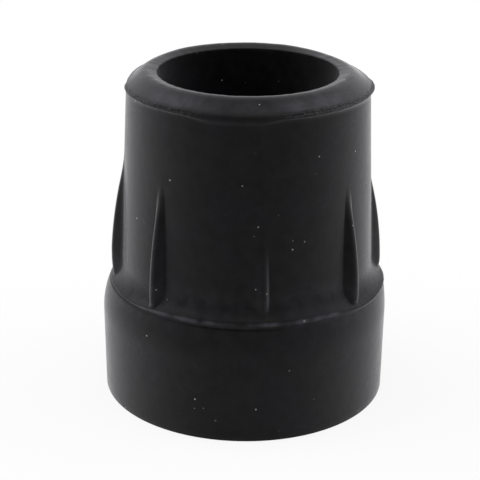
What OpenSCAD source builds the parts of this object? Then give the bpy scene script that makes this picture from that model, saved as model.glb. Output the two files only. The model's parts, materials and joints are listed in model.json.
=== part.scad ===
// Rubber cane tip: one moulded piece that is pushed onto the end of a round tube.
// The foot stands on z = 0 and the bore opens upward along +Z.

/* [Bore] */
// Diameter of the blind bore that grips the tube
bore_d = 22; // [16:0.5:32]
// Thickness of the rubber between the floor of the bore and the tread
sole_t = 12; // [6:0.5:20]
// Radius of the fillet round the floor of the bore
floor_fillet = 1; // [0.4:0.1:2]

/* [Lip] */
// Angle at which the lip slopes up from the edge of the rim, from level
lip_slope = 34.5; // [25:0.5:38]
// Radius of the lip's rounded crown
lip_round = 1; // [0.6:0.1:1.1]
// How far the middle of the crown lies outside the bore
lip_w = 1.75; // [1.5:0.05:2]
// Angle at which the lip falls from its crown to the edge of the mouth, from level
bevel_slope = 18.5; // [12:0.5:30]
// How far the edge of the mouth lies outside the bore
mouth_w = 0.4; // [0.2:0.05:0.7]
// Depth over which the mouth narrows to the bore
mouth_h = 5; // [2:0.5:8]

/* [Neck] */
// Height of the neck from the crest of the shoulder to the edge of the rim
neck_h = 25.7; // [22:0.05:45]
// Wall of the neck where it rises from the shoulder
root_wall = 5.45; // [4.6:0.05:8]
// Wall of the neck just under the rim
top_wall = 4.4; // [3.6:0.05:4.5]

/* [Rim] */
// Height of the band round the rim
band_h = 1.05; // [0.8:0.05:2]
// How far the band stands out from the neck
band_step = 0.28; // [0.1:0.02:0.8]
// Height of the flat that is left where the mould's flash was trimmed off
trim_h = 0.5; // [0.2:0.05:0.7]
// Width of that flat
trim_w = 0.33; // [0.1:0.01:0.5]

/* [Foot] */
// Height of the foot, from the floor to the mould's parting line
foot_h = 14.95; // [11:0.05:25]
// How much the foot's radius grows from the tread up to where its side turns in
foot_draft = 0.12; // [0:0.01:0.5]
// Radius of the edge round the tread
tread_round = 0.25; // [0.1:0.05:1]
// Height over which the foot's side turns in, up to the parting line
turn_h = 4.1; // [2:0.1:6]
// How far it turns in over that height
turn_w = 0.62; // [0.2:0.01:1]
// Step at the parting line, where the crest lies inside the foot
parting_step = 0.08; // [0.04:0.01:0.3]

/* [Shoulder] */
// Width of the shoulder, from the root of the neck out to its crest
shoulder_w = 1.47; // [1.2:0.01:3.5]
// Height of the crest's side over the parting line
crest_h = 0.6; // [0.3:0.05:2]
// Radius of the rounded crest
crest_round = 0.5; // [0.2:0.05:0.8]
// Radius of the hollow flare between the shoulder's crest and the neck
flare = 3; // [2.5:0.1:6]

/* [Tread] */
// Number of ring grooves in the tread
groove_count = 3; // [1:1:4]
// Width of each groove
groove_w = 1.2; // [0.6:0.1:2]
// Depth of each groove
groove_depth = 1; // [0.4:0.1:2]
// Width of the ring of rubber between two grooves, and outside the last
land_w = 2.6; // [1.2:0.1:3]

/* [Ribs] */
// Number of ribs round the neck
rib_count = 8; // [4:1:12]
// Height over the shoulder's crest at which a rib fades into the neck
rib_h = 14.2; // [10:0.1:18]
// How far the foot of a rib lies inside the shoulder's crest
rib_inset = 0.12; // [0.05:0.01:0.6]
// Angle between a rib's middle plane and each of its flanks
rib_flank = 22; // [15:1:40]
// Radius of a rib's rounded edge
rib_round = 0.35; // [0.1:0.05:0.5]
// Turn of the first rib from +X
rib_turn = 6; // [0:1:45]

/* [Hidden] */
$fn = 120;
rubber = [0.12, 0.12, 0.13];
arc_steps = 8;
rib_angle_spare = 1.2;
rib_root_depth = 3;

bore_r = bore_d / 2;
root_r = bore_r + root_wall;
neck_top_r = bore_r + top_wall;
crest_r = root_r + shoulder_w;
foot_top_r = crest_r + parting_step;
foot_r = foot_top_r + turn_w;
tread_r = foot_r - foot_draft;
rim_r = neck_top_r + band_step;
edge_r = rim_r - trim_w;

crest_z = foot_h + crest_h;
edge_z = crest_z + neck_h;
band_z = edge_z - band_h;

// Radius of the neck at a height, on the straight draft from its root to the rim's band
function neck_r(z) = root_r + (neck_top_r - root_r) * (z - crest_z) / (band_z - crest_z);

// Points on an arc about [x, z], from angle a to angle b
function arc(x, z, r, a, b) =
    [for (i = [0:arc_steps]) let (t = a + (b - a) * i / arc_steps) [x + r * cos(t), z + r * sin(t)]];

// Arc by which the foot's side leaves its draft and turns in to the parting line
turn_r = (turn_h * turn_h + turn_w * turn_w) / (2 * turn_w);
turn_angle = asin(turn_h / turn_r);

// Hollow flare, tangent to the neck above it and to the rounded crest below it
flare_x = neck_r(crest_z + flare) + flare;
crest_x = crest_r - crest_round;
flare_dip = acos((flare_x - crest_x) / (flare + crest_round));
flare_z = crest_z + (flare + crest_round) * sin(flare_dip);

// Crown of the lip, tangent to the slope from the rim's edge and to the bevel down to the mouth
crown_x = bore_r + lip_w;
crown_z = edge_z + (edge_r - crown_x) * tan(lip_slope) - lip_round / cos(lip_slope);
mouth_r = bore_r + mouth_w;
mouth_z = crown_z + lip_round / cos(bevel_slope) - (crown_x - mouth_r) * tan(bevel_slope);
bore_top_z = mouth_z - mouth_h;

function outer_side() = concat(
    arc(tread_r - tread_round, tread_round, tread_round, -90, 0),
    arc(foot_r - turn_r, foot_h - turn_h, turn_r, 0, turn_angle),
    [[crest_r, foot_h]],
    arc(crest_x, crest_z, crest_round, 0, flare_dip),
    arc(flare_x, flare_z, flare, 180 + flare_dip, 180),
    [[neck_top_r, band_z], [rim_r, band_z], [rim_r, edge_z - trim_h], [edge_r, edge_z]],
    arc(crown_x, crown_z, lip_round, 90 - lip_slope, 90 + bevel_slope),
    [[mouth_r, mouth_z]]);

function bore_side() = concat(
    [[bore_r, bore_top_z]],
    arc(bore_r - floor_fillet, sole_t + floor_fillet, floor_fillet, 0, -90));

module body() {
    rotate_extrude()
        polygon(concat([[0, 0]], outer_side(), bore_side(), [[0, sole_t]]));
}

module tread_groove(outer_r) {
    translate([0, 0, -groove_depth])
        difference() {
            cylinder(r = outer_r, h = 2 * groove_depth);
            cylinder(r = outer_r - groove_w, h = 2 * groove_depth);
        }
}

// A rib's edge is an arc that leaves the shoulder upright and curves in to the neck
rib_foot_r = crest_r - rib_inset;
rib_depth = rib_foot_r - neck_r(crest_z + rib_h);
rib_arc = (rib_h * rib_h + rib_depth * rib_depth) / (2 * rib_depth);
rib_top_angle = asin(rib_h / rib_arc) + rib_angle_spare;

// Section across a rib: a wedge with a rounded edge, whose root lies inside the neck's wall
module rib_section() {
    root_half_w = rib_round / cos(rib_flank) + (rib_root_depth - rib_round) * tan(rib_flank);
    polygon(concat(
        [[rib_arc - rib_root_depth, -root_half_w]],
        arc(rib_arc - rib_round, 0, rib_round, rib_flank - 90, 90 - rib_flank),
        [[rib_arc - rib_root_depth, root_half_w]]));
}

module rib() {
    translate([rib_foot_r - rib_arc, 0, crest_z])
        rotate([90, 0, 0])
            rotate([0, 0, -rib_angle_spare])
                rotate_extrude(angle = rib_top_angle + rib_angle_spare)
                    rib_section();
}

module cane_tip() {
    color(rubber)
        difference() {
            union() {
                body();
                for (i = [0:rib_count - 1])
                    rotate([0, 0, rib_turn + i * 360 / rib_count]) rib();
            }
            for (i = [1:groove_count])
                tread_groove(tread_r - i * land_w - (i - 1) * groove_w);
        }
}

cane_tip();
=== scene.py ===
"""Rubber cane tip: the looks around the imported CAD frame."""

import json
import math

import bpy
import numpy as np
from mathutils import Matrix, Vector, noise


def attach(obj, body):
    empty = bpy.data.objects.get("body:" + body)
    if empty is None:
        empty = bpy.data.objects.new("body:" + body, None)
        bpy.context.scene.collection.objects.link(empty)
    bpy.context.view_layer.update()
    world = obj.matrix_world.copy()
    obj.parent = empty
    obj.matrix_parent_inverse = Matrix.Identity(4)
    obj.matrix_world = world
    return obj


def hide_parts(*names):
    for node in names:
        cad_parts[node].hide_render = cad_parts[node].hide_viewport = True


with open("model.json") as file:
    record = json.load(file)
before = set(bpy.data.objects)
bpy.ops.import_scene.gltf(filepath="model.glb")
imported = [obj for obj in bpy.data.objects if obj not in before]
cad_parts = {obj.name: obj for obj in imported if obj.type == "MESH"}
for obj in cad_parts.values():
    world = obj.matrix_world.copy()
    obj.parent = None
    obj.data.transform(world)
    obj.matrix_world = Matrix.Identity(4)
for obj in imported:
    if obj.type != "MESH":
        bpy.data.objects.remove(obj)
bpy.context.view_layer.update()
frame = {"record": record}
MM = 0.001


# ---------------------------------------------------------------- sizes, in millimetres and degrees
# Tread, which the floor hides
TREAD_MIDDLE_R = 0.4
TREAD_TOP_Z = 1.0
TREAD_ROUND = 0.15
GROOVES = 3
GROOVE_W = 1.2
GROOVE_DEPTH = 1.0
GROOVE_EDGE = 0.12
GROOVE_FILLET = 0.2
LAND_W = 2.6

# Foot, which the lower half of the mould made, and whose upper edge turns in
FOOT_R = 18.62
FOOT_DRAFT = 0.12
PARTING_Z = 14.95
TURN_H = 4.1
TURN_W = 0.62
LEFT_WEAR = 0.3
RIGHT_FULL = 0.35
# Painted highlight: the foot is paler near its upper edge, most at its left and right sides
FOOT_SIDE_HIGHLIGHT = 0.35
FOOT_SIDE_HIGHLIGHT_H = 1.6

# Shoulder and neck, from the upper half, which sat a little to +X of the lower one.
# The shoulder's crest is a small roll at the front, and is sharper and lower at the sides. A little flash
# was squeezed out at +X, and at -X the crest fell short.
MISMATCH = 0.244
CREST_R = 17.92
CREST_Z = 15.65
CREST_ROUND = 0.45
CREST_SHARP = 0.15
CREST_LOW = 0.58
# Painted highlight along the crest's roll, strongest at the front-left and front-right
CREST_HIGHLIGHT_STRENGTH = 1.8
FLASH = 0.17
FLASH_ROUGH = 0.03
SHORT_SHOT = 0.18
OVERHANG = 0.05
OVERHANG_H = 0.5
FLARE = 3.0
# Painted light in the flare's hollow above the crest, lifting its shade, more at the left and right sides
HOLLOW_FILL_LIGHT = 0.1
HOLLOW_FILL_LIGHT_SIDES = 0.26
ROOT_R = 16.45
ROOT_Z = 15.55
NECK_TOP_R = 15.42
NECK_TOP_Z = 40.15

# Ribs: the ones at +X are shorter and fuller, the one at -X is taller, with a longer toe, and the faint
# one at the front is lower
RIBS = 8
RIB_TURN = 6
RIB_H = 14.1
RIB_RISE = 0.3
RIB_SHORT = 1.2
RIB_FULL = 0.03
RIB_FOOT_R = 17.8
RIB_FLANK = 21
RIB_ROUND = 0.65
RIB_FILLET = 0.45
RIB_TOE_H = 1.2
RIB_TOE_IN = 0.15
SIDE_LEAN = 20
FAINT_LEAN = 40
FAINT_SHORT = 2.0
FAINT_LOW = 0.7
LEFT_TALL = 0.9
LEFT_TOE_H = 3.3
LEFT_TOE_IN = 0.15

# Rim, with the ragged band that the trimming left under it. The ridge is the band's lower corner, and the
# edge is its upper one, on the lip's slope.
BAND_Z = 39.6
RIM_R = 15.73
RIM_Z = 40.96
RIM_ROUND = 0.8
RIM_WORN_IN = 0.08
RIDGE_R = 15.57
RIDGE_Z = 40.87
RIDGE_OVAL = 0.17
RIDGE_OFFSET = 0.13
RIDGE_TILT = 0.1
RIDGE_ROUGH = 0.015
RIDGE_UNEVEN = 0.06
EDGE_R = 15.35
EDGE_FRONT = 0.12
EDGE_ROUGH = 0.1
TORN_ROUGH = 0.035
TORN_HOLLOW = 0.05

# Lip and mouth
LIP_SLOPE = 37.2
LIP_START_R = 14.95
LIP_MOVED = 0.77
LIP_ROUGH = 0.015
CROWN_R = 13.1
CROWN_ROUND = 1.5
BEVEL_SLOPE = 16.0
MOUTH_R = 11.42
MOUTH_ROUND = 0.22
MOUTH_H = 5.0

# Bore, whose floor the mouth hides
BORE_R = frame["record"]["mounts"][0]["dims"]["r_mm"]
SOLE_T = 12.0
FLOOR_FILLET = 1.0

# Points round a ring, steps up the outline in millimetres, and steps round the ribs in degrees
TREAD_POINTS = 240
FOOT_POINTS = 480
RIM_POINTS = 900
LIP_POINTS = 480
BORE_POINTS = 160
TREAD_STEP = 1.3
FOOT_STEP = 1.05
TURN_STEP = 0.3
RIBBED_STEP = 0.5
NECK_STEP = 1.4
LIP_STEP = 0.35
BORE_STEP = 3.0
RIB_REACH = 7.6
AT_RIB_STEP = 0.4
BETWEEN_STEP = 1.6

# ---------------------------------------------------------------- regions round the tip
# Each has its middle, half width and soft edge in degrees. +X, at 0, is the photo's right, and -Y, at 270,
# is its front. In a list of marks an amount comes first: a length, an angle or a share.
FOOT_LEFT = (180, 55, 50)
FOOT_RIGHT = (0, 60, 40)
CREST_LEFT = (178, 47, 14)
CREST_RIGHT = (2, 46, 14)
FLASH_RIGHT = (5, 60, 35)
SHORT_LEFT = (180, 50, 30)
OVERHANG_MARKS = [(-0.17, 262, 16, 9), (-0.08, 0, 60, 20)]
# Where the painted highlight along the crest lies
CREST_HIGHLIGHTS = [(1, 238, 18, 9), (0.9, 294, 16, 8), (0.2, 262, 30, 15)]
RIB_SHIFTS = [(2.6, 229, 14, 5), (-0.8, 277, 14, 5)]
FAINT_RIB = (276, 14, 4)
LEFT_RIB = (186, 12, 5)
RIGHT_RIB = (6, 12, 5)
RIM_WORN_FRONT = (264.5, 18, 8)
RIM_WORN_BACK = (62, 12, 6)
RIM_PARED = [(0.45, 166, 13, 8), (0.25, 24, 18, 10)]
RIM_PROUD = [(0.15, 348, 25, 15)]
BURR_RIGHT = (16, 14, 5)
BURR_LEFT = (162, 12, 5)
LIP_HEIGHTS = [(0.11, 100, 40, 30), (-0.2, 25, 25, 20), (-0.13, 158, 18, 14)]
BLOOM_LEFT = (231, 14, 9)
BLOOM_RIGHT = (304, 14, 10)
BLOOM_FRONT = (266, 75, 20)
MOUTH_NICKS = [(1, 245.5, 1.0, 0.8), (0.7, 280, 0.8, 0.7)]

# ---------------------------------------------------------------- colours, gloss and light
# DULLER is added to the roughness where the rubber is trimmed, pale or dusty
BLACK_LOW = (0.0003, 0.0003, 0.0004, 1)
BLACK_HIGH = (0.0034, 0.0034, 0.0035, 1)
BLUISH = (0.0024, 0.0020, 0.0048, 1)
TRIMMED_GREY = (0.016, 0.016, 0.017, 1)
# Pale grey of the lip's bloom and the mouth's nicks, also used for the painted highlights on the crest and
# foot and the painted light in the flare's hollow
BLOOM_AND_PAINTED_LIGHT_GREY = (0.036, 0.034, 0.041, 1)
DUST_WHITE = (0.6, 0.6, 0.58, 1)
ROUGH = 0.22
DULLER = 0.28
SPECULAR = 0.03
SHEEN = 0.355
# Painted shade: the bore's copy of the rubber has less sheen, so the recess renders darker
BORE_SHADE_SHEEN = 0.15
SHEEN_ROUGH = 0.5
SHEEN_TINT = (0.96, 0.95, 1.0, 1)

# Grain and relief of the rubber, in millimetres
SMUDGE_GRAIN = 7.0
MOTTLE_GRAIN = 1.6
FLECK_GRAIN = 0.45
MOULD_GRAIN = 0.16
MOULD_RELIEF = 0.006
MOTTLE_RELIEF = 0.03
TORN_RELIEF = 0.12
DUST_RELIEF = 0.03
DUST_PITCH = 1.5
DUST_R = 0.11
DUST_SHARE = 0.5

# Floor and sky: sizes and places in metres
FLOOR_HALF = 1.5
FLOOR_GREY = (0.9, 0.9, 0.9, 1)
FLOOR_GLOW = 0.86
SKY_LIGHT = 0.52
SKY_TOP = 0.52
LIGHT_AIM = (0, 0, 0.02)

# Camera: its aim and distance in millimetres, and its lens on a 36 mm sensor
CAMERA_PITCH = 21.618
CAMERA_ROLL = 0.498
CAMERA_AIM = (-0.647, 0, 19.657)
CAMERA_AWAY = 192.743
SENSOR_W = 36
LENS = 110.24


# ---------------------------------------------------------------- plain maths
SEED_GAP = 7.3           # keeps the noise of two seeds apart
NOISE_STRETCH = 1.6      # brings it to about -1 to 1


def lerp(a, b, t):
    return a + (b - a) * t


def smooth(low, high, x):
    """A smooth step from 0 at low to 1 at high."""
    t = np.clip((x - low) / (high - low), 0, 1)
    return t * t * (3 - 2 * t)


def arc(x, z, radius, start, end, steps):
    """Points on an arc about (x, z), with its angles in degrees."""
    angles = [math.radians(start + (end - start) * i / steps) for i in range(steps + 1)]
    return [(x + radius * math.cos(a), z + radius * math.sin(a)) for a in angles]


def rounded(corners, steps):
    """A polyline of (radius, height, fillet) corners, with each fillet as an arc."""
    path = []
    for i, (x, z, fillet) in enumerate(corners):
        here = Vector((x, z))
        if fillet == 0 or i in (0, len(corners) - 1):
            path.append((x, z))
            continue
        back = (Vector(corners[i - 1][:2]) - here).normalized()
        ahead = (Vector(corners[i + 1][:2]) - here).normalized()
        half = back.angle(ahead) / 2
        reach = fillet / math.tan(half)
        middle = here + (back + ahead).normalized() * fillet / math.sin(half)
        first = here + back * reach - middle
        turn = first.angle_signed(here + ahead * reach - middle)
        for s in range(steps + 1):
            spin = Matrix.Rotation(-turn * s / steps, 2)
            path.append(tuple(middle + spin @ first))
    return path


def subdivide(path, longest):
    """The path with points added so that no step is longer than a length."""
    out = [path[0]]
    for a, b in zip(path, path[1:]):
        n = max(1, math.ceil(math.dist(a, b) / longest))
        out += [(lerp(a[0], b[0], k / n), lerp(a[1], b[1], k / n)) for k in range(1, n + 1)]
    return out


def around(angles, grain, seed):
    """Smooth noise from about -1 to 1 round the tip, whose grain is a length along the rim."""
    out = []
    for a in angles:
        t = math.radians(a)
        spot = Vector((RIM_R * math.cos(t), RIM_R * math.sin(t), 0)) / grain
        out.append(noise.noise(spot + Vector((0, 0, seed * SEED_GAP))) * NOISE_STRETCH)
    return np.array(out)


def window(angles, middle, half, edge):
    """1 within an angle of a direction, falling smoothly to 0 past it."""
    off = np.abs((angles - middle + 180) % 360 - 180)
    return 1 - smooth(half - edge, half + edge, off)


def marks(angles, spots):
    """The sum of windows round the tip, each times its amount."""
    return sum(amount * window(angles, *where) for amount, *where in spots)


# ---------------------------------------------------------------- rings of points
class Ring:
    """A closed ring of points round the tip, at angles in degrees from +X."""

    def __init__(self, angles, r, z, moved=1.0, trimmed=0.0, pale=0.0):
        full = np.zeros(len(angles))
        self.angles = angles
        self.r = r + full
        self.z = z + full
        self.moved = moved
        self.trimmed = trimmed + full
        self.pale = pale + full

    def points(self):
        """The ring's points in metres, moved by its share of the mould's mismatch."""
        turn = np.radians(self.angles)
        x = self.r * np.cos(turn) + MISMATCH * self.moved
        return np.column_stack([x, self.r * np.sin(turn), self.z]) * MM


def even_angles(count):
    return np.arange(count) * 360 / count


def rib_angles():
    """Angles round the tip, closer together at the ribs."""
    pitch = 360 / RIBS
    at_rib = np.arange(-RIB_REACH, RIB_REACH, AT_RIB_STEP)
    between = np.arange(RIB_REACH, pitch - RIB_REACH, BETWEEN_STEP)
    side = np.concatenate([at_rib, between])
    every = np.concatenate([RIB_TURN + k * pitch + side for k in range(RIBS)])
    return np.sort(every % 360)


# ---------------------------------------------------------------- tread and foot
def tread_rings():
    """The tread with its ring grooves, from the middle out to the foot's edge."""
    tread_r = FOOT_R - FOOT_DRAFT
    corners = [(TREAD_MIDDLE_R, 0, 0)]
    for i in range(GROOVES, 0, -1):
        outer = tread_r - i * LAND_W - (i - 1) * GROOVE_W
        inner = outer - GROOVE_W
        corners += [(inner, 0, GROOVE_EDGE), (inner, GROOVE_DEPTH, GROOVE_FILLET),
                    (outer, GROOVE_DEPTH, GROOVE_FILLET), (outer, 0, GROOVE_EDGE)]
    corners += [(tread_r, 0, TREAD_ROUND), (tread_r, TREAD_TOP_Z, 0)]
    path = subdivide(rounded(corners, 3), TREAD_STEP)
    return [Ring(even_angles(TREAD_POINTS), r, z, moved=0) for r, z in path]


def foot_rings():
    """The foot's side, whose upper edge is worn round at -X and full at +X, up to the parting line, with a
    painted highlight near that edge at the left and right sides.
    """
    angles = even_angles(FOOT_POINTS)
    worn = LEFT_WEAR * window(angles, *FOOT_LEFT)
    full = RIGHT_FULL * window(angles, *FOOT_RIGHT)
    # Painted highlight, paler at the left and right sides of the foot
    foot_side_highlight = FOOT_SIDE_HIGHLIGHT * np.abs(np.cos(np.radians(angles))) ** 2
    turn_z = PARTING_Z - TURN_H
    turn_r = (TURN_H ** 2 + TURN_W ** 2) / (2 * TURN_W)
    straight = np.arange(TREAD_TOP_Z + 0.5, turn_z, FOOT_STEP)
    turning = np.arange(turn_z, PARTING_Z - 0.1, TURN_STEP)
    rings = []
    for z in (*straight, *turning, PARTING_Z - 0.07):
        up = max(z - turn_z, 0)
        turned = turn_r - math.sqrt(turn_r ** 2 - up ** 2)
        r = FOOT_R - FOOT_DRAFT * (1 - min(z / turn_z, 1)) - turned * (1 - full)
        pale = foot_side_highlight * float(smooth(PARTING_Z - FOOT_SIDE_HIGHLIGHT_H, PARTING_Z - 0.2, z))
        rings.append(Ring(angles, r - worn * (up / TURN_H) ** 2, z, moved=0, pale=pale))
    return rings


# ---------------------------------------------------------------- shoulder, neck and ribs
def neck_r(z):
    """Radius of the neck at a height, on its straight draft."""
    return ROOT_R + (NECK_TOP_R - ROOT_R) * (z - ROOT_Z) / (NECK_TOP_Z - ROOT_Z)


def rib_crest_r(z, rib_h, left):
    """Radius of a rib's edge at a height: it fades into the neck, and turns in at its toe."""
    depth = RIB_FOOT_R - neck_r(ROOT_Z + rib_h)
    radius = (rib_h ** 2 + depth ** 2) / (2 * depth)
    up = z - ROOT_Z
    toe_in = RIB_TOE_IN + LEFT_TOE_IN * left
    toe = toe_in * np.maximum(1 - up / (RIB_TOE_H + LEFT_TOE_H * left), 0) ** 2
    return RIB_FOOT_R - radius + np.sqrt(np.maximum(radius ** 2 - up ** 2, 0)) - toe


def with_ribs(angles, r, z):
    """Radius of the neck or shoulder at a height, with the ribs blended in."""
    if not CREST_Z - 0.1 <= z <= ROOT_Z + RIB_H + 2:
        return np.full(len(angles), r)
    pitch = 360 / RIBS
    off = (angles + marks(angles, RIB_SHIFTS) - RIB_TURN + pitch / 2) % pitch - pitch / 2
    side = np.abs(r * np.sin(np.radians(off)))
    faint = window(angles, *FAINT_RIB)
    left = window(angles, *LEFT_RIB)
    sides = left + window(angles, *RIGHT_RIB)
    right = np.maximum(np.cos(np.radians(angles - off)), 0)

    # Across a rib: a rounded edge between two leaning flanks
    lean = np.radians(RIB_FLANK + SIDE_LEAN * sides + FAINT_LEAN * faint * (off < 0))
    edge = RIB_ROUND * np.cos(lean)
    tip = RIB_ROUND - np.sqrt(np.maximum(RIB_ROUND ** 2 - side ** 2, 0))
    flank = RIB_ROUND * (1 - np.sin(lean)) + (side - edge) / np.tan(lean)
    rib_h = RIB_H + RIB_RISE - RIB_SHORT * right - FAINT_SHORT * faint + LEFT_TALL * left
    crest = rib_crest_r(z, rib_h, left) + RIB_FULL * right - FAINT_LOW * faint
    rib = crest - np.where(side < edge, tip, flank)
    blend = np.maximum(0, 1 - np.abs(r - rib) / RIB_FILLET)
    return np.maximum(r, rib) + blend ** 2 * RIB_FILLET / 4


def shoulder_path(rounding, drop):
    """The shoulder's outline, from the parting line over its rounded crest to the neck."""
    flare_x = neck_r(ROOT_Z + FLARE) + FLARE
    crest = (CREST_R - rounding, CREST_Z - drop)
    reach = FLARE + rounding
    dip = math.degrees(math.acos((flare_x - crest[0]) / reach))
    flare_z = crest[1] + reach * math.sin(math.radians(dip))
    path = [(CREST_R, lerp(PARTING_Z, crest[1], k / 4)) for k in range(4)]
    path += arc(*crest, rounding, 0, dip, 8)
    path += arc(flare_x, flare_z, FLARE, 180 + dip, 180, 12)[1:]
    return path


def neck_rings():
    """The shoulder and the neck with its ribs, up to the band under the rim."""
    angles = rib_angles()
    path = shoulder_path(CREST_ROUND, 0)
    side_path = shoulder_path(CREST_SHARP, CREST_LOW)
    sides = window(angles, *CREST_LEFT) + window(angles, *CREST_RIGHT)
    rib_top = ROOT_Z + RIB_H
    ribbed = np.arange(path[-1][1] + RIBBED_STEP, rib_top + 2, RIBBED_STEP)
    bare = np.arange(rib_top + 3, BAND_Z, NECK_STEP)
    path += [(neck_r(z), z) for z in (*ribbed, *bare)]
    side_path += path[len(side_path):]

    flash = FLASH * window(angles, *FLASH_RIGHT) - SHORT_SHOT * window(angles, *SHORT_LEFT)
    flash += FLASH_ROUGH * around(angles, 1.5, seed=9)
    overhang = OVERHANG + marks(angles, OVERHANG_MARKS)
    # Painted highlight along the crest: paler there at the front-left and front-right, faintly between
    crest_highlight = marks(angles, CREST_HIGHLIGHTS) * (0.7 + 0.6 * around(angles, 1.1, seed=33))
    crest_highlight = CREST_HIGHLIGHT_STRENGTH * np.clip(crest_highlight, 0, 1)
    # Painted light that lifts the shade in the flare's hollow, more at the left and right sides
    hollow_fill_light = HOLLOW_FILL_LIGHT + HOLLOW_FILL_LIGHT_SIDES * np.abs(np.cos(np.radians(angles)))
    rings = []
    for (r, z), (side_r, side_z) in zip(path, side_path):
        squeezed = flash * float(smooth(CREST_Z + 0.6, CREST_Z - 0.2, z))
        squeezed = squeezed + overhang * max(1 - (z - PARTING_Z) / OVERHANG_H, 0)
        shape = lerp(with_ribs(angles, r, z), with_ribs(angles, side_r, side_z), sides)
        on_crest = float(smooth(0.36, 0.12, abs(z - CREST_Z + 0.02)))
        hollow = float(smooth(CREST_Z + 0.2, CREST_Z + 0.8, z) * smooth(ROOT_Z + 4.5, ROOT_Z + 2, z))
        pale = crest_highlight * on_crest + hollow * hollow_fill_light
        rings.append(Ring(angles, shape + squeezed, lerp(z, side_z, sides), pale=pale))
    return rings


# ---------------------------------------------------------------- rim
def slope_z(r):
    """Height of the sloping lip at a radius."""
    return RIM_Z + (RIM_R - r) * math.tan(math.radians(LIP_SLOPE))


def trimmed_path(angles):
    """The torn outline of the band and the rim, with a ridge and then a ragged edge round the tip."""
    side = np.cos(np.radians(angles))
    front = np.maximum(-np.sin(np.radians(angles)), 0)
    ragged = around(angles, 0.55, seed=3) * 0.6 + around(angles, 1.6, seed=4)
    pared = marks(angles, RIM_PARED)
    ridge_r = RIDGE_R + RIDGE_OVAL * side ** 2 + RIDGE_OFFSET * side - pared
    ridge_r += RIDGE_ROUGH * around(angles, 0.9, seed=5)
    ridge_z = RIDGE_Z + RIDGE_TILT * side + RIDGE_UNEVEN * around(angles, 1.2, seed=6)
    edge_r = EDGE_R - EDGE_FRONT * side * front + marks(angles, RIM_PROUD) - pared + EDGE_ROUGH * ragged
    edge_z = slope_z(edge_r)
    under_r = ridge_r - 0.02
    path = [(neck_r(40.0), 40.0), (neck_r(40.4) + 0.02, 40.4), (lerp(15.4, ridge_r, 0.5), 40.64),
            (under_r, ridge_z - 0.1), (under_r, ridge_z)]
    for t in (0.15, 0.32, 0.5, 0.68, 0.85):
        torn = TORN_ROUGH * around(angles, 0.45, seed=11 + 7 * t) - TORN_HOLLOW * math.sin(math.pi * t)
        path.append((lerp(under_r, edge_r, t) + torn, lerp(ridge_z, edge_z, t) + torn / 2))
    path.append((edge_r, edge_z))
    path.append((edge_r - 0.1, edge_z + 0.1 * math.tan(math.radians(LIP_SLOPE)) + 0.012))
    return path


def worn_path():
    """The rim's outline where it is worn smooth, with as many points as the torn one."""
    round_x = RIM_R - RIM_WORN_IN - RIM_ROUND
    round_z = slope_z(round_x) - RIM_ROUND / math.cos(math.radians(LIP_SLOPE))
    path = [(neck_r(39.85), 39.85), (neck_r(40.0) + 0.04, 40.0), (15.51, 40.16), (15.59, 40.34)]
    return path + arc(round_x, round_z, RIM_ROUND, -8, 90 - LIP_SLOPE, 7)


def rim_rings():
    """The rim: trimmed to a ragged edge all round, apart from where it is worn smooth."""
    angles = even_angles(RIM_POINTS)
    worn = np.maximum(window(angles, *RIM_WORN_FRONT), window(angles, *RIM_WORN_BACK))
    burr = np.maximum(window(angles, *BURR_RIGHT), window(angles, *BURR_LEFT))
    torn_share = [0, 0, 0, 0.5, 1, 1, 1, 1, 1, 1, 0.5, 0]
    burr_share = [0] * 10 + [1, 1]
    rings = []
    for (r1, z1), (r2, z2), torn, burred in zip(trimmed_path(angles), worn_path(), torn_share, burr_share):
        cut = np.maximum((1 - worn) * torn, burr * burred)
        rings.append(Ring(angles, lerp(r1, r2, worn), lerp(z1, z2, worn), trimmed=cut))
    return rings


# ---------------------------------------------------------------- lip, mouth and bore
def mouth_z():
    """Height of the mouth's edge."""
    return slope_z(CROWN_R) - (CROWN_R - MOUTH_R) * math.tan(math.radians(BEVEL_SLOPE))


def taper(t):
    """A point on the taper from the mouth's edge, at 0, to the bore, at 1."""
    return lerp(MOUTH_R, BORE_R, t), mouth_z() - MOUTH_H * t


def lip_bloom(angles):
    """How pale the slope of the lip is near the rim: two blotches at the front, and less between them."""
    patches = np.maximum(window(angles, *BLOOM_LEFT), window(angles, *BLOOM_RIGHT))
    between = 0.3 * window(angles, *BLOOM_FRONT)
    return np.clip(patches + between + 0.15 * around(angles, 2.5, seed=21) * patches, 0, 1)


def lip_rings():
    """The sloping lip, its crown and bevel, and the mouth's edge."""
    corners = [(LIP_START_R, slope_z(LIP_START_R), 0), (CROWN_R, slope_z(CROWN_R), CROWN_ROUND),
               (MOUTH_R, mouth_z(), MOUTH_ROUND), (*taper(0.1), 0)]
    angles = even_angles(LIP_POINTS)
    uneven = LIP_ROUGH * around(angles, 1.1, seed=8)
    leaning = marks(angles, LIP_HEIGHTS)
    bloomed = lip_bloom(angles)
    nicked = marks(angles, MOUTH_NICKS)
    rings = []
    for r, z in subdivide(rounded(corners, 6), LIP_STEP):
        near_lip = float(smooth(14, 13, r) * smooth(BORE_R, MOUTH_R, r))
        near_crown = float(smooth(15.2, 14.4, r) * smooth(MOUTH_R, 12.6, r))
        at_mouth = 1 - float(smooth(0.25, 0.45, abs(r - MOUTH_R)))
        pale = bloomed * float(smooth(12.9, 14.6, r)) + nicked * at_mouth
        moved = lerp(LIP_MOVED, 1, float(smooth(CROWN_R, LIP_START_R, r)))
        height = z + near_lip * uneven + near_crown * leaning
        rings.append(Ring(angles, r - near_lip * uneven, height, moved=moved, pale=pale))
    return rings


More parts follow.
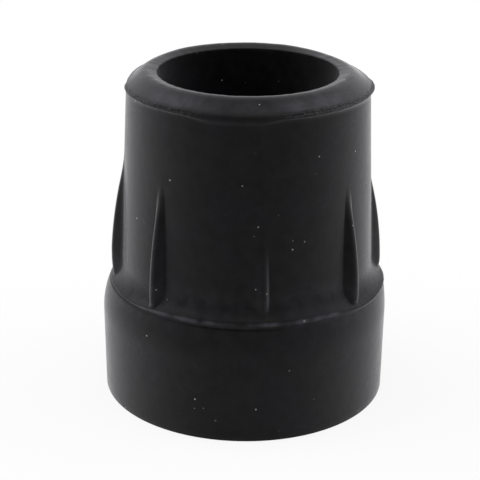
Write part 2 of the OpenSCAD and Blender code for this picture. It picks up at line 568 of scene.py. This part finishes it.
def bore_rings():
    """The taper, and the bore's wall and floor."""
    wall = [taper(t) for t in (0.2, 0.4, 0.6, 0.8, 1)]
    wall += [(BORE_R, z) for z in np.arange(35, SOLE_T + FLOOR_FILLET + 1, -BORE_STEP)]
    floor = arc(BORE_R - FLOOR_FILLET, SOLE_T + FLOOR_FILLET, FLOOR_FILLET, 0, -90, 5)
    flat = [(r, SOLE_T) for r in (7.5, 5, 2.5, 0.5)]
    angles = even_angles(BORE_POINTS)
    return [Ring(angles, r, z, moved=LIP_MOVED * float(smooth(30, 40, z))) for r, z in wall + floor + flat]


# ---------------------------------------------------------------- mesh
def bridge(low, high, start_low, start_high):
    """Faces between two rings, whose points may stand at different angles."""
    n, m = len(low.angles), len(high.angles)
    if n == m and np.array_equal(low.angles, high.angles):
        return [(start_low + j, start_low + (j + 1) % n, start_high + (j + 1) % n, start_high + j)
                for j in range(n)]
    a = np.append(low.angles, low.angles[0] + 360)
    b = np.append(high.angles, high.angles[0] + 360)
    faces = []
    i = j = 0
    while i < n or j < m:
        if j == m or (i < n and a[i + 1] + a[i] <= b[j + 1] + b[j]):
            faces.append((start_low + i, start_low + (i + 1) % n, start_high + j % m))
            i += 1
        else:
            faces.append((start_low + i % n, start_high + (j + 1) % m, start_high + j))
            j += 1
    return faces


def in_bore(mesh):
    """1 for each face inside the bore, which has the second material, a copy of the rubber with less sheen
    that paints shade into the bore, and 0 for the others.
    """
    x, y, z = np.array([face.center for face in mesh.polygons]).T / MM
    inside = (np.hypot(x, y) < MOUTH_R + 0.4) & (z > SOLE_T - 1) & (z < mouth_z() - 0.05)
    return inside.astype(np.int32)


def tip_mesh():
    """The whole tip as one closed mesh of rings, from the middle of the tread to the bore's floor."""
    rings = tread_rings() + foot_rings() + neck_rings() + rim_rings() + lip_rings() + bore_rings()
    points = [ring.points() for ring in rings]
    starts = np.cumsum([1] + [len(p) for p in points])
    last = int(starts[-1])
    verts = np.vstack([[[0, 0, 0]]] + points + [[[0, 0, SOLE_T * MM]]])
    n = len(points[0])
    faces = [(0, 1 + (j + 1) % n, 1 + j) for j in range(n)]
    for i in range(len(rings) - 1):
        faces += bridge(rings[i], rings[i + 1], int(starts[i]), int(starts[i + 1]))
    n = len(points[-1])
    top = int(starts[-2])
    faces += [(last, top + j, top + (j + 1) % n) for j in range(n)]
    mesh = bpy.data.meshes.new("tip_rubber")
    mesh.from_pydata(verts.tolist(), [], faces)
    for look in ("trimmed", "pale"):
        values = np.concatenate([[0]] + [getattr(ring, look) for ring in rings] + [[0]])
        mesh.attributes.new(look, "FLOAT", "POINT").data.foreach_set("value", values)
    mesh.validate()
    mesh.shade_smooth()
    mesh.polygons.foreach_set("material_index", in_bore(mesh))
    tip = bpy.data.objects.new("tip_rubber", mesh)
    bpy.context.scene.collection.objects.link(tip)
    return tip


# ---------------------------------------------------------------- materials
class Nodes:
    """Short calls that add and link the nodes of a material or a world."""

    def __init__(self, owner):
        owner.use_nodes = True
        self.tree = owner.node_tree

    def link(self, value, socket):
        """Feed a socket from another one, or give it a plain value."""
        if isinstance(value, bpy.types.NodeSocket):
            self.tree.links.new(value, socket)
        else:
            socket.default_value = value

    def add(self, kind, inputs, output=0, **settings):
        """A new node with its inputs fed and its settings made, as one of its outputs."""
        node = self.tree.nodes.new("ShaderNode" + kind)
        for name, value in settings.items():
            setattr(node, name, value)
        for name, value in inputs.items():
            self.link(value, node.inputs[name])
        return node.outputs[output]

    def math(self, operation, *values):
        return self.add("Math", dict(enumerate(values)), operation=operation)

    def noise(self, place, grain, detail, rough):
        """Noise whose grain is a length in millimetres."""
        inputs = {"Vector": place, "Scale": 1 / grain, "Detail": detail, "Roughness": rough}
        return self.add("TexNoise", inputs)

    def ramp(self, value, low, high, to_low=0.0, to_high=1.0):
        """The value's range from low to high, stretched to another range and clamped."""
        inputs = {"Value": value, "From Min": low, "From Max": high, "To Min": to_low, "To Max": to_high}
        return self.add("MapRange", inputs, interpolation_type="SMOOTHSTEP")

    def blend(self, amount, first, second):
        """From the first colour to the second."""
        inputs = {"Factor": amount, 6: first, 7: second}
        return self.add("Mix", inputs, output=2, data_type="RGBA")

    def look(self, name):
        """A value that the mesh carries at its points."""
        return self.add("Attribute", {}, output="Fac", attribute_name=name)

    def seen(self):
        """1 for what the camera sees, directly or in a reflection."""
        path = self.tree.nodes.new("ShaderNodeLightPath").outputs
        direct = self.math("MAXIMUM", path["Is Camera Ray"], path["Is Transmission Ray"])
        return self.math("MAXIMUM", direct, path["Is Glossy Ray"])


def rubber(name, sheen):
    """Black moulded rubber: smudged, pale where it is worn or bloomed and where highlights and light are
    painted, torn where it was trimmed, and dusty.
    """
    mat = bpy.data.materials.new(name)
    n = Nodes(mat)
    shader = n.tree.nodes["Principled BSDF"].inputs
    object_place = n.add("TexCoord", {}, output="Object")
    place = n.add("VectorMath", {0: object_place, "Scale": 1 / MM}, operation="SCALE")

    smudge = n.noise(place, SMUDGE_GRAIN, 3, 0.55)
    mottle = n.noise(place, MOTTLE_GRAIN, 4, 0.6)
    grain = n.noise(place, MOULD_GRAIN, 2, 0.6)
    flecks = n.noise(place, FLECK_GRAIN, 3, 0.7)
    trimmed = n.look("trimmed")
    pale = n.look("pale")

    # Colour: near black, with faint bluish patches, pale wear and bloom, painted highlights and painted
    # light, and a grey trimmed band
    tone = n.blend(n.ramp(mottle, 0.3, 0.7), BLACK_LOW, BLACK_HIGH)
    tone = n.blend(n.ramp(smudge, 0.5, 0.68, 0, 0.6), tone, BLUISH)
    torn = n.math("MULTIPLY", trimmed, n.ramp(flecks, 0.42, 0.66))
    tone = n.blend(torn, tone, TRIMMED_GREY)
    # The pale attribute: real bloom and wear, and painted highlights and painted light
    bloom_and_painted_light = n.math("MULTIPLY", pale, n.ramp(mottle, 0.35, 0.65, 0.45, 1))
    tone = n.blend(bloom_and_painted_light, tone, BLOOM_AND_PAINTED_LIGHT_GREY)

    # Dust: one small dot in some cells of a lattice, where it meets the surface
    lattice = {"Vector": place, "Scale": 1 / DUST_PITCH}
    nearest = n.add("TexVoronoi", lattice, output="Distance")
    chance = n.add("SeparateColor", {0: n.add("TexVoronoi", lattice, output="Color")})
    dot = n.math("LESS_THAN", nearest, DUST_R / DUST_PITCH)
    dust = n.math("MULTIPLY", dot, n.ramp(chance, 1 - DUST_SHARE, 1, 0, 0.5))
    tone = n.blend(dust, tone, DUST_WHITE)
    n.link(tone, shader["Base Color"])

    # Gloss: smudges and mottling, and duller where trimmed, pale or dusty, under an even sheen
    gloss = n.ramp(smudge, 0.3, 0.7, ROUGH - 0.04, ROUGH + 0.05)
    gloss = n.math("ADD", gloss, n.ramp(mottle, 0.3, 0.7, -0.035, 0.035))
    dull = n.math("MAXIMUM", n.math("MAXIMUM", trimmed, bloom_and_painted_light), dust)
    n.link(n.math("ADD", gloss, n.math("MULTIPLY", dull, DULLER)), shader["Roughness"])
    shader["Specular IOR Level"].default_value = SPECULAR
    shader["Sheen Weight"].default_value = sheen
    shader["Sheen Roughness"].default_value = SHEEN_ROUGH
    shader["Sheen Tint"].default_value = SHEEN_TINT

    # Relief: the mould's fine grain, soft unevenness, the torn band and the dust
    height = n.math("MULTIPLY", grain, MOULD_RELIEF)
    height = n.math("ADD", height, n.math("MULTIPLY", mottle, MOTTLE_RELIEF))
    height = n.math("ADD", height, n.math("MULTIPLY", n.math("MULTIPLY", trimmed, flecks), TORN_RELIEF))
    height = n.math("ADD", height, n.math("MULTIPLY", dust, DUST_RELIEF))
    relief = n.add("Bump", {"Strength": 1.0, "Distance": MM, "Height": height})
    n.link(relief, shader["Normal"])
    return mat


def pale_floor():
    """A pale floor, which the camera sees nearly white, with the object's shadow on it."""
    mat = bpy.data.materials.new("floor")
    n = Nodes(mat)
    shaded = n.tree.nodes["Principled BSDF"]
    shaded.inputs["Base Color"].default_value = FLOOR_GREY
    shaded.inputs["Roughness"].default_value = 0.9
    shaded.inputs["Specular IOR Level"].default_value = 0.1
    white = n.add("Emission", {"Color": (1, 1, 1, 1), "Strength": 1.0})
    lit = n.add("MixShader", {0: n.math("MULTIPLY", n.seen(), FLOOR_GLOW), 1: shaded.outputs[0], 2: white})
    n.link(lit, n.tree.nodes["Material Output"].inputs["Surface"])
    return mat


# ---------------------------------------------------------------- stage, light and camera
def add_floor():
    mesh = bpy.data.meshes.new("floor")
    corners = [(x * FLOOR_HALF, y * FLOOR_HALF, 0) for x, y in ((-1, -1), (1, -1), (1, 1), (-1, 1))]
    mesh.from_pydata(corners, [], [(0, 1, 2, 3)])
    floor = bpy.data.objects.new("floor", mesh)
    bpy.context.scene.collection.objects.link(floor)
    floor.data.materials.append(pale_floor())


def add_softbox(name, place, size, power):
    """A rectangular lamp at a place in metres, turned to the tip."""
    light = bpy.data.lights.new(name, "AREA")
    light.shape = "RECTANGLE"
    light.size, light.size_y = size
    light.energy = power
    lamp = bpy.data.objects.new(name, light)
    lamp.location = place
    lamp.rotation_euler = (Vector(LIGHT_AIM) - Vector(place)).to_track_quat("-Z", "Y").to_euler()
    bpy.context.scene.collection.objects.link(lamp)


def add_world():
    """A sky that looks white at the horizon and greyer above, and lights evenly."""
    world = bpy.data.worlds.new("studio")
    bpy.context.scene.world = world
    n = Nodes(world)
    sky = n.tree.nodes["Background"].inputs
    sky["Color"].default_value = (1, 1, 1, 1)
    way = n.add("SeparateXYZ", {0: n.add("TexCoord", {}, output="Generated")}, output="Z")
    shown = n.math("MULTIPLY", n.seen(), n.ramp(way, 0.1, 0.34, 1, SKY_TOP))
    n.link(n.math("MAXIMUM", shown, SKY_LIGHT), sky["Strength"])


def add_camera():
    """The photo's camera: it looks down at the tip from the front, and leans a little."""
    pitch = math.radians(CAMERA_PITCH)
    roll = math.radians(CAMERA_ROLL)
    aim = Vector(CAMERA_AIM) * MM
    back = Vector((0, -math.cos(pitch), math.sin(pitch)))
    level = Vector((1, 0, 0))
    upright = level.cross(-back)
    right = level * math.cos(roll) + upright * math.sin(roll)
    up = upright * math.cos(roll) - level * math.sin(roll)
    data = bpy.data.cameras.new("camera")
    data.sensor_width = SENSOR_W
    data.lens = LENS
    camera = bpy.data.objects.new("camera", data)
    turn = Matrix((right, up, back)).transposed().to_4x4()
    camera.matrix_world = Matrix.Translation(aim + back * CAMERA_AWAY * MM) @ turn
    bpy.context.scene.collection.objects.link(camera)
    bpy.context.scene.camera = camera


add_camera()
add_world()
add_floor()
add_softbox("soft_top", (0, 0, 0.75), (0.5, 0.5), 0.55)
add_softbox("soft_left", (-0.5, 0.05, 0.55), (0.6, 0.5), 2.3)
add_softbox("soft_right", (0.5, 0.05, 0.55), (0.6, 0.5), 1.65)
add_softbox("soft_back_left", (-0.5, 0.6, 0.5), (0.5, 0.5), 0.55)
add_softbox("soft_back_right", (0.5, 0.6, 0.5), (0.5, 0.5), 0.6)
bpy.context.scene.view_settings.view_transform = "Standard"

tip = tip_mesh()
tip.data.materials.append(rubber("tip_rubber", SHEEN))
# The bore's copy of the rubber, with less sheen: painted shade in the recess
tip.data.materials.append(rubber("tip_bore_shaded", BORE_SHADE_SHEEN))
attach(tip, "root")
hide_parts("cane_tip")
